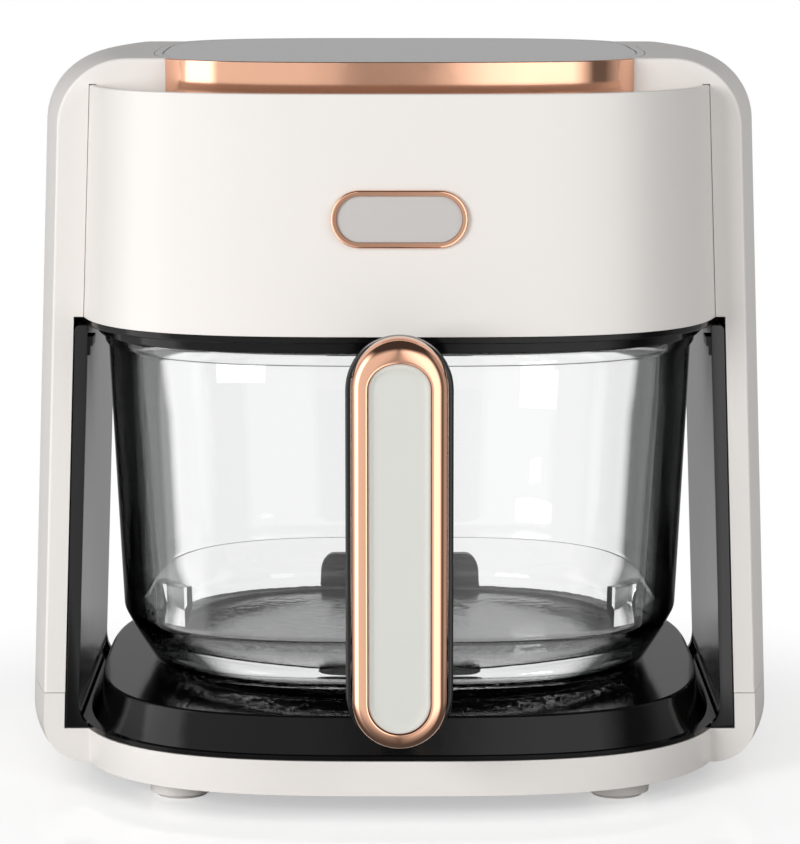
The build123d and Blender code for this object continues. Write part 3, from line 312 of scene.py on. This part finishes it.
rose_gold = metal("polished rose gold", ROSE, 0.09, lines=0.04, scratch=0.0000005)
steel = metal("steel sheet", STEEL, 0.28, lines=0.20, stretch=(1, 40, 1))
dark_steel = metal("heated steel", HEATED_STEEL, 0.42, lines=0.10)
aluminium = metal("pressed aluminium", ALUMINIUM, 0.34, lines=0.15)
zinc = metal("zinc screws", ZINC, 0.30)
winding = metal("copper winding", COPPER, 0.35, lines=0.20)

# %% [markdown]
# ## Thick pressed glass
# All the light goes through clear glass, bent by its index of refraction. The dark edges of the thick
# glass are painted shade: Layer Weight tells how steeply we look at the surface, and the tint falls
# from clear to nearly black as that becomes grazing. Fine streaks from pressing run up the wall and
# disturb the reflections a little. At the foot the mould left a hammered ripple, which sparkles.

# %% Glass
GLASS_CLEAR = (0.952, 0.956, 0.954)
# Nearly black tint at grazing angles: painted shade for the glass's dark edges.
GLASS_EDGE_PAINTED_SHADE = (0.012, 0.013, 0.013)
GRAZING_EDGE = (0.50, 0.61)
GLASS_IOR = 1.47
STREAK_SHARE = 0.1
RIPPLE_SPOTS = 240
RIPPLE_TOP = 0.053
RIPPLE_LOW = 0.049
RIPPLE_DEPTH = 0.0003


def clear_glass():
    """Clear where we look straight in, and painted shade makes it nearly black where we look along the
    wall.
    """
    made = Material("clear glass")
    grazing = made.number(made.node("ShaderNodeLayerWeight", {}, {"Blend": 0.5}), "Facing")
    # The tint carries painted shade: it falls to nearly black where we look along the wall.
    tint_and_painted_edge = made.mix(made.ramp(grazing, *GRAZING_EDGE), shade(GLASS_CLEAR), shade(GLASS_EDGE_PAINTED_SHADE))
    streaks = made.noise(60, detail=2, stretch=(1, 1, 0.08))
    height = made.number(made.node("ShaderNodeSeparateXYZ", {}, {0: made.place()}), 2)
    hammered = made.noise(RIPPLE_SPOTS, detail=2) * made.ramp(height, RIPPLE_TOP, RIPPLE_LOW)
    made.set(
        base_color=tint_and_painted_edge,
        transmission_weight=1.0,
        ior=GLASS_IOR,
        roughness=0.0,
        normal=made.bump(streaks * STREAK_SHARE + hammered, RIPPLE_DEPTH),
    )
    return made.data


glass = clear_glass()
print("materials", len(bpy.data.materials))

# %% [markdown]
# ## Which part has which finish
# Most parts keep their shape from the frame. They only need their finish, which is given by the
# name of the part. The parts that we model anew further down are in no row here.

# %% Finishes of the parts
FINISHES = {
    cream: ["arch_shell", "base_shell", "head_front_cover", "head_rear_cover", "feet"],
    black: ["base_tray", "chamber_ring", "bowl_stop", "bowl_guides"],
    black_satin: ["handle_shell", "handle_bracket", "rear_vent_grille", "cord_inlet",
                  "base_bottom_plate", "cooling_fan", "interlock_switch"],
    panel_grey: ["top_frame", "touch_panel"],
    sage: ["interlock_button"],
    badge_pale: ["badge_plate"],
    rose_gold: ["trim_band_front", "trim_band_rear", "badge_bezel"],
    silicone: ["gasket_inner", "gasket_outer"],
    pad_rubber: ["foot_pads"],
    steel: ["clamp_plate", "handle_bolts", "heat_shield", "element_guard", "motor_mount",
            "motor_can", "motor_end_cap", "bearings", "motor_shaft", "fan_nut", "temperature_probe"],
    zinc: ["bottom_screws", "handle_screws", "ring_screws", "shield_screws"],
    dark_steel: ["heater_coil"],
    aluminium: ["reflector_dome", "hot_fan", "rotor_core"],
    winding: ["stator"],
    green: ["display_board", "power_board"],
    ceramic: ["heater_bushes", "board_standoffs", "thermal_cutout"],
}
for finish, names in FINISHES.items():
    for name in names:
        nodes[name].data.materials.clear()
        nodes[name].data.materials.append(finish)
print("still to model", sorted(set(nodes) - {name for names in FINISHES.values() for name in names}))

# %% [markdown]
# ## Growing a skin ring by ring
# The bowl, the handle's ring and its insert are all bands of outlines: each outline is a little
# smaller, larger or further on than the last. By hand we would add a circle, extrude its edge and
# scale it, again and again. `grow` does the same: it adds a circle, puts its points on the first
# outline, extrudes the edge and puts the new points on the next outline.


# %% The ring helper
def fit_ring(piece, old_ring, new_ring):
    """Moves the selected points from their spots on one outline to the same spots on the next."""
    spots = KDTree(len(old_ring))
    for number, spot in enumerate(old_ring):
        spots.insert(spot, number)
    spots.balance()
    edit = bmesh.from_edit_mesh(piece.data)
    for vertex in edit.verts:
        if vertex.select:
            vertex.co = new_ring[spots.find(vertex.co)[1]]
    bmesh.update_edit_mesh(piece.data)


def grow(name, rings, closed=False):
    """A skin through all the rings: closed joins the last to the first, else both ends are filled."""
    bpy.ops.object.select_all(action="DESELECT")
    filling = "NOTHING" if closed else "NGON"
    bpy.ops.mesh.primitive_circle_add(vertices=len(rings[0]), radius=1, fill_type=filling)
    piece = bpy.context.object
    piece.name = name
    piece.data.name = name
    start = [vertex.co.copy() for vertex in piece.data.vertices]
    bpy.ops.object.mode_set(mode="EDIT")
    bpy.ops.mesh.select_mode(type="EDGE")
    bpy.ops.mesh.select_all(action="SELECT")
    fit_ring(piece, start, rings[0])
    for old_ring, new_ring in zip(rings, rings[1:]):
        bpy.ops.mesh.extrude_edges_move()
        fit_ring(piece, old_ring, new_ring)
    if closed:
        bpy.ops.mesh.select_all(action="DESELECT")
        bpy.ops.mesh.select_non_manifold()
        bpy.ops.mesh.bridge_edge_loops()
    else:
        bpy.ops.mesh.edge_face_add()
    bpy.ops.mesh.select_all(action="SELECT")
    bpy.ops.mesh.normals_make_consistent(inside=False)
    bpy.ops.object.mode_set(mode="OBJECT")
    return piece


def finish_piece(piece, finish, body, replaced, smooth):
    """Smooths a piece, gives it its finish, and says what it rides on and stands for."""
    bpy.ops.object.shade_smooth_by_angle(angle=radians(smooth))
    piece.data.materials.append(finish)
    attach(piece, body)
    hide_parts(replaced)
    low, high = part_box(replaced)
    corners = [vertex.co for vertex in piece.data.vertices]
    grown = max(
        max(low[axis] - min(co[axis] for co in corners), max(co[axis] for co in corners) - high[axis])
        for axis in range(3)
    )
    print(piece.name, len(piece.data.polygons), "faces, past its part by", round(1000 * grown, 3), "mm")


# %% [markdown]
# ## The glass bowl
# Seen from above the bowl is a square with round sides: the curve |x/a|^p + |y/b|^p = 1. Its wall
# leans outwards, turns in at a shoulder, and stands on a foot. A bead runs round the rim. We walk
# along the wall's section, from under the foot up the outside, over the rim and down the inside,
# and give every step its own half sizes, power and height.

# %% Outline and section of the bowl
bowl_low, bowl_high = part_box("glass_bowl")
BODY_Y = (bowl_low.y + bowl_high.y) / 2
BOWL_POINTS = 200
BOWL_WALL = 0.005
BOWL_FLOOR = 0.007
BEAD_PROUD = 0.0015
BEAD_HEIGHT = 0.0053
SHOULDER = bowl_low.z + 0.0295
SHOULDER_SIZE = (0.1213, 0.1265)
FOOT_SIZE = (0.107, 0.105)
RIM_SIZE = (bowl_high.x - BEAD_PROUD, (bowl_high.y - bowl_low.y) / 2 - BEAD_PROUD)
WALL_POWER = 3.0
FOOT_POWER = 2.45
SHOULDER_TURN = 1.12


def square_ring(half_x, half_y, power, z):
    """A round-sided square seen from above, as a list of points."""
    ring = []
    for number in range(BOWL_POINTS):
        angle = 2 * pi * number / BOWL_POINTS
        swell = abs(cos(angle) / half_x) ** power + abs(sin(angle) / half_y) ** power
        reach = swell ** (-1 / power)
        ring.append(Vector((reach * cos(angle), BODY_Y + reach * sin(angle), z)))
    return ring


def wall_size(z):
    """Half sizes and power of the outer wall at height z."""
    if z >= SHOULDER:
        share = (z - SHOULDER) / (bowl_high.z - BEAD_HEIGHT - SHOULDER)
        sizes = [low + (high - low) * share for low, high in zip(SHOULDER_SIZE, RIM_SIZE)]
        return sizes[0], sizes[1], WALL_POWER
    share = ((SHOULDER - z) / (SHOULDER - bowl_low.z)) ** SHOULDER_TURN
    sizes = [high - (high - low) * share for low, high in zip(FOOT_SIZE, SHOULDER_SIZE)]
    return sizes[0], sizes[1], WALL_POWER - (WALL_POWER - FOOT_POWER) * share


def wall_ring(z, inset=0.0, height=None):
    """The wall's outline at height z, drawn in by inset, and laid at another height if one is given."""
    half_x, half_y, power = wall_size(z)
    return square_ring(half_x - inset, half_y - inset, power, z if height is None else height)


# %% [markdown]
# Sharp turns need two or three rings close together, so that smooth shading stays on its own side.
# The underside is a little hollow, as on pressed glass. Inside, a narrow ledge runs round at the
# height of the shoulder, and the floor meets the wall in a wide round corner.

# %% The outside of the bowl
FOOT_RING = 0.013
FOOT_HOLLOW = 0.0012
FOOT_SECTION = (
    (FOOT_RING + 0.004, FOOT_HOLLOW), (FOOT_RING + 0.001, FOOT_HOLLOW), (FOOT_RING, 0.0004),
    (FOOT_RING - 0.001, 0.0), (0.0024, 0.0), (0.0012, 0.0004),
)
LOWER_STEPS = (0.07, 0.2, 0.4, 0.6, 0.8, 0.95, 0.985)
UPPER_STEPS = (0.004, 0.013, 0.2, 0.4, 0.6, 0.8, 0.985)
BEAD_SECTION = (
    (0.0004, 0.0), (0.0012, 0.0003), (0.0015, 0.0010), (0.0015, 0.0040), (0.0012, 0.0048), (0.0004, 0.0053),
)
RIM_SECTION = ((0.0038, 0.0), (0.0046, 0.0003), (0.0050, 0.0012))
bead_low = bowl_high.z - BEAD_HEIGHT

rings = [wall_ring(bowl_low.z, inset, bowl_low.z + rise) for inset, rise in FOOT_SECTION]
rings += [wall_ring(bowl_low.z + (SHOULDER - bowl_low.z) * step) for step in LOWER_STEPS]
rings += [wall_ring(SHOULDER + (bead_low - SHOULDER) * step) for step in UPPER_STEPS]
rings += [wall_ring(bead_low, -proud, bead_low + rise) for proud, rise in BEAD_SECTION]
rings += [wall_ring(bead_low, inset, bowl_high.z - drop) for inset, drop in RIM_SECTION]

# %% The inside of the bowl
RIB_LOW = SHOULDER + 0.002
RIB_HIGH = SHOULDER + 0.019
RIB_MIDDLE = (RIB_LOW + RIB_HIGH) / 2
LEDGE = 0.0014
LEDGE_CLEAR = 0.004
INNER_ROUND = 0.009
ROUND_STEPS = 6
inner_heights = (
    bead_low, RIB_HIGH + 0.06, RIB_HIGH + 0.03, RIB_HIGH + 0.001, RIB_HIGH, RIB_MIDDLE, RIB_LOW,
    SHOULDER + 0.0006,
)
rings += [wall_ring(z, BOWL_WALL) for z in inner_heights]

low_wall = BOWL_WALL + LEDGE
ledge_section = ((BOWL_WALL + 0.0002, 0.0001), (low_wall - 0.0003, 0.0), (low_wall, -0.0004))
rings += [wall_ring(SHOULDER, inset, SHOULDER + rise) for inset, rise in ledge_section]

inner_floor = bowl_low.z + BOWL_FLOOR
round_start = inner_floor + INNER_ROUND
rings += [wall_ring(SHOULDER - LEDGE_CLEAR, low_wall), wall_ring(round_start, low_wall)]
for step in range(1, ROUND_STEPS + 1):
    turn = step * pi / (2 * ROUND_STEPS)
    inset = low_wall + INNER_ROUND * (1 - cos(turn))
    rings.append(wall_ring(round_start, inset, round_start - INNER_ROUND * sin(turn)))
rings.append(wall_ring(round_start, low_wall + INNER_ROUND + 0.003, inner_floor))
bowl = grow("glass_bowl_skin", rings)
print("the bowl has", len(rings), "rings")

# %% [markdown]
# Two short ribs stand on the inside of the front corners, where a grid can rest. Each one starts as
# a few faces of the inner wall, which are extruded towards the middle. Its foot is pulled back, so
# it becomes a wedge, as a mould needs it.

# %% Ribs of the bowl
RIB_DEPTH = 0.004
RIB_WIDTH = 0.0084
RIB_TAPER = 0.9
bpy.ops.object.mode_set(mode="EDIT")
bpy.ops.mesh.select_mode(type="FACE")
for side in (-1, 1):
    bpy.ops.mesh.select_all(action="DESELECT")
    edit = bmesh.from_edit_mesh(bowl.data)
    for face in edit.faces:
        middle = face.calc_center_median()
        half_x, half_y, power = wall_size(middle.z)
        x, y = side * middle.x, BODY_Y - middle.y
        inner = face.normal.x * side < 0 < face.normal.y
        across = abs(x / half_x - y / half_y) * half_x
        in_height = RIB_LOW < middle.z < RIB_HIGH
        face.select_set(inner and in_height and min(x, y) > 0 and across < RIB_WIDTH)
    bmesh.update_edit_mesh(bowl.data)
    inwards = Vector((-side, 1, 0)).normalized()
    bpy.ops.mesh.extrude_region_move(TRANSFORM_OT_translate={"value": inwards * RIB_DEPTH})
    edit = bmesh.from_edit_mesh(bowl.data)
    for vertex in edit.verts:
        if vertex.select and vertex.co.z < RIB_MIDDLE - 0.001:
            vertex.co -= inwards * RIB_DEPTH * RIB_TAPER
    bmesh.update_edit_mesh(bowl.data)
bpy.ops.object.mode_set(mode="OBJECT")
finish_piece(bowl, glass, "bowl", "glass_bowl", smooth=40)

# %% [markdown]
# ## The handle's ring and insert
# The handle is a long slot: two half circles joined by straight sides. The rose-gold ring is half a
# dome, steep outside and flat inside, so that one bright line runs along each arm. It grows wider
# over the top of the handle, and the insert ends lower there. The pale insert has a thin raised
# edge and a shallow dish. Both are bands of slots, each one drawn in by some millimetres and set
# back or forward.

# %% Slot outlines
ring_low, ring_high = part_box("handle_frame")
SLOT_STEPS = 36
SLOT_HALF = (ring_high.x - ring_low.x) / 2
SLOT_STRAIGHT = (ring_high.z - ring_low.z) / 2 - SLOT_HALF
SLOT_MIDDLE = (ring_high.z + ring_low.z) / 2
TOP_WIDER = 0.42
TOP_PROUD = 0.0008


def slot_ring(inset, y):
    """An upright slot seen from the front, drawn in by inset and set at depth y."""
    ring = []
    for end, start in ((1, 0.0), (-1, pi)):
        for number in range(SLOT_STEPS + 1):
            angle = start + pi * number / SLOT_STEPS
            over_top = sin(angle) ** 2 if end == 1 else 0
            reach = SLOT_HALF - inset + (TOP_PROUD - inset * TOP_WIDER) * over_top
            height = SLOT_MIDDLE + end * SLOT_STRAIGHT + reach * sin(angle)
            ring.append(Vector((reach * cos(angle), y, height)))
    return ring


# %% Model the ring
RING_SECTION = (
    (0.0, 0.0114), (0.0, 0.0072), (0.0001, 0.0056), (0.0005, 0.0041), (0.0011, 0.0028),
    (0.0019, 0.0018), (0.0028, 0.0010), (0.0038, 0.0005), (0.0048, 0.0002), (0.0058, 0.0),
    (0.0064, 0.0), (0.0066, 0.0001), (0.0066, 0.0062), (0.0086, 0.0064), (0.0086, 0.0114),
)
slots = [slot_ring(inset, ring_low.y + depth) for inset, depth in RING_SECTION]
ring = grow("handle_ring", slots, closed=True)
finish_piece(ring, rose_gold, "bowl", "handle_frame", smooth=40)

# %% Model the insert
insert_low, insert_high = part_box("handle_insert")
INSERT_EDGE = SLOT_HALF - (insert_high.x - insert_low.x) / 2
INSERT_SECTION = (
    (0.0, 0.0003), (0.0002, 0.0001), (0.0004, 0.0), (0.0010, 0.0), (0.0013, 0.0001),
    (0.0017, 0.0004), (0.0024, 0.0007), (0.0033, 0.0009), (0.0044, 0.0010), (0.0060, 0.0010),
)
slots = [slot_ring(INSERT_EDGE, insert_high.y)]
slots += [slot_ring(INSERT_EDGE + inset, insert_low.y + depth) for inset, depth in INSERT_SECTION]
insert = grow("handle_inlay", slots)
finish_piece(insert, sage, "bowl", "handle_insert", smooth=50)

# %% [markdown]
# ## The black trims of the legs
# A black strip closes the inner side of each leg. From the front it has a round shoulder at the top
# and a small curved foot that runs in to the tray. The strip is an outline that grows from the
# front to the rear, and only its two ends have the foot. The second strip is a mirrored copy.

# %% Outline of a leg trim
trim_low, trim_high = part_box("leg_liner_right")
TRIM_WIDTH = 0.0057
TRIM_LEAN = 0.036
TRIM_SHOULDER = 0.0030
TRIM_CORNER = 0.0012
TRIM_EDGE = 0.0005
FOOT_REACH = 0.0042
FOOT_RISE = 0.0095
FOOT_THICK = 0.0020
NO_FOOT = 0.00001
ARC_STEPS = 8


def arc(middle, radii, start, stop):
    """Points of a quarter ellipse, from one angle in degrees to another."""
    angles = [radians(start + (stop - start) * step / ARC_STEPS) for step in range(ARC_STEPS + 1)]
    return [(middle[0] + radii[0] * cos(angle), middle[1] + radii[1] * sin(angle)) for angle in angles]


def trim_ring(y, foot, inset=0.0):
    """The right trim's outline at depth y: x from its inner side, z from its lower end."""
    tall = trim_high.z - trim_low.z
    reach = FOOT_REACH if foot else NO_FOOT
    outline = arc((-reach, FOOT_THICK + FOOT_RISE), (reach, FOOT_RISE), 270, 360)
    outline += arc((TRIM_EDGE, tall - TRIM_EDGE - inset), (TRIM_EDGE, TRIM_EDGE), 180, 90)
    corner = (TRIM_WIDTH - TRIM_SHOULDER - inset, tall - TRIM_SHOULDER - inset)
    outline += arc(corner, (TRIM_SHOULDER, TRIM_SHOULDER), 90, 0)
    corner = (TRIM_WIDTH - TRIM_CORNER - inset, TRIM_CORNER + inset)
    outline += arc(corner, (TRIM_CORNER, TRIM_CORNER), 0, -90)
    outline.append((-reach, inset))
    inner_side = trim_high.x - TRIM_WIDTH
    return [Vector((inner_side + x - TRIM_LEAN * z, y, trim_low.z + z)) for x, z in outline]


# %% Model the two trims
FOOT_DEPTH = 0.004
CHAMFER = 0.0004
trim_rings = [
    trim_ring(trim_low.y, True, CHAMFER),
    trim_ring(trim_low.y + CHAMFER, True),
    trim_ring(trim_low.y + FOOT_DEPTH, True),
    trim_ring(trim_low.y + FOOT_DEPTH + CHAMFER, False),
    trim_ring(trim_high.y - FOOT_DEPTH - CHAMFER, False),
    trim_ring(trim_high.y - FOOT_DEPTH, True),
    trim_ring(trim_high.y - CHAMFER, True),
    trim_ring(trim_high.y, True, CHAMFER),
]
right_trim = grow("leg_trim_right", trim_rings)
finish_piece(right_trim, black_lining, "housing", "leg_liner_right", smooth=40)

mirrored = [[Vector((-spot.x, spot.y, spot.z)) for spot in one] for one in trim_rings]
left_trim = grow("leg_trim_left", mirrored)
finish_piece(left_trim, black_lining, "housing", "leg_liner_left", smooth=40)

# %% [markdown]
# ## The studio
# A white product picture needs a floor that is white and yet keeps the soft shadow under the
# object. The floor is lit like everything else, and adds a little light of its own for rays from
# the camera and through glass. Further out it fades to plain white, so no horizon shows.
# Black gloss and metal see it dim near the object, so they stay deep, and not at all further out.
# A very weak shine gives the faint mirror image in front of the object.

# %% Floor
FLOOR_RADIUS = 0.80
FLOOR_POINTS = 96
FLOOR_PAINT = (0.86, 0.86, 0.86)
FLOOR_GLOSS = 0.05
FLOOR_SMEARS = 0.02
FLOOR_SHINE = 0.03
FLOOR_FADE = (0.16, 0.36)
FLOOR_GLOW = 0.46
FLOOR_OFF_GLOSS = 0.10

bpy.ops.object.select_all(action="DESELECT")
bpy.ops.mesh.primitive_circle_add(vertices=FLOOR_POINTS, radius=FLOOR_RADIUS, fill_type="NGON")
floor = bpy.context.object
floor.name = "floor"
paint = Material("white floor")
paint.set(
    base_color=shade(FLOOR_PAINT),
    roughness=FLOOR_GLOSS + FLOOR_SMEARS * paint.noise(6),
    specular_ior_level=FLOOR_SHINE,
)

# %% What each ray sees of the floor
straight, off_gloss = paint.rays()
distance = paint.node("ShaderNodeVectorMath", {"operation": "LENGTH"}, {0: paint.place()})
far = paint.ramp(paint.number(distance, "Value"), *FLOOR_FADE)
glow = paint.node("ShaderNodeEmission", {}, {"Strength": FLOOR_GLOW})
white = paint.node("ShaderNodeEmission", {}, {"Strength": 1.0})
dim = paint.node("ShaderNodeEmission", {}, {"Strength": FLOOR_OFF_GLOSS})
gone = paint.node("ShaderNodeBsdfTransparent")
lifted = paint.node("ShaderNodeAddShader", {}, {0: paint.shader.outputs[0], 1: glow.outputs[0]})

near = paint.blend(straight, paint.shader, lifted)
whole = paint.blend(far * straight, near, white)
mirrored_floor = paint.blend(far, dim, gone)
seen = paint.blend(off_gloss, whole, mirrored_floor)
paint.feed(paint.tree.nodes["Material Output"].inputs[0], seen.outputs[0])
floor.data.materials.append(paint.data)

# %% [markdown]
# The world is the rest of the room. The camera and the glass see plain white. Light that falls on
# the object comes evenly from it. Gloss and metal need more than one brightness to look like
# metal, so they see soft boxes with darker gaps between them: a row of stops by the direction,
# from behind over the left, the front and the right to behind again. Overhead the room is dark.

# %% World
AMBIENT = 0.32
STUDIO = (
    (-180, 0.42), (-125, 0.42), (-104, 1.00), (-98, 1.20), (-94, 3.00), (-66, 3.00), (-58, 1.00),
    (-10, 0.95), (-4, 0.80), (-0.5, 0.30), (1.5, 0.75), (4, 1.25), (9, 1.80), (20, 2.10), (50, 2.05),
    (60, 1.00), (70, 0.15), (84, 0.15), (102, 0.55), (125, 0.42), (180, 0.42),
)
STUDIO_TOP = 3.2
CEILING = 0.06
CEILING_EDGE = (0.50, 0.80)

world = bpy.data.worlds.new("white room")
bpy.context.scene.world = world
world.use_nodes = True
room = Shades(world.node_tree)
direction = room.node("ShaderNodeTexCoord").outputs["Generated"]
parts = room.node("ShaderNodeSeparateXYZ", {}, {0: direction})
sideways = room.number(parts, 0)
towards_front = 0 - room.number(parts, 1)
turn = sideways.maths("ARCTAN2", towards_front) * (0.5 / pi) + 0.5
stops = room.node("ShaderNodeValToRGB", {}, {0: turn})
ramp = stops.color_ramp
for number, (degrees, bright) in enumerate(STUDIO):
    spot = degrees / 360 + 0.5
    stop = ramp.elements[number] if number < 2 else ramp.elements.new(spot)
    stop.position = spot
    stop.color = shade((bright / STUDIO_TOP,) * 3)
soft_boxes = room.number(stops) * STUDIO_TOP
overhead = room.ramp(room.number(parts, 2), *CEILING_EDGE)
soft_boxes = soft_boxes + overhead * (CEILING - soft_boxes)
straight, off_gloss = room.rays()
strength = AMBIENT + straight * (1 - AMBIENT) + off_gloss * (soft_boxes - AMBIENT)
background = world.node_tree.nodes["Background"]
background.inputs["Color"].default_value = (1, 1, 1, 1)
room.feed(background.inputs["Strength"], strength)


# %% [markdown]
# A large lamp from the left lights the bulging head from the side and fades over it. A weaker one
# from the right keeps the far side open. The key stands low, so that the top stays a shade darker.
# Gloss doesn't see them, because the soft boxes of the room are its picture of the lamps.


# %% Lamps
MIDDLE = Vector((0, 0.02, 0.16))


def lamp(name, place, width, height, power):
    """A soft rectangular lamp that points at the middle of the object."""
    bpy.ops.object.light_add(type="AREA", location=place)
    made = bpy.context.object
    made.name = name
    made.data.shape = "RECTANGLE"
    made.data.size = width
    made.data.size_y = height
    made.data.energy = power
    made.visible_glossy = False
    made.rotation_euler = (MIDDLE - Vector(place)).to_track_quat("-Z", "Y").to_euler()
    print(name, "lamp of", power, "W")


lamp("key", (-1.59, -1.89, 0.62), 1.1, 1.3, 45)
lamp("fill", (1.6, -1.4, 1.00), 1.2, 1.3, 13)
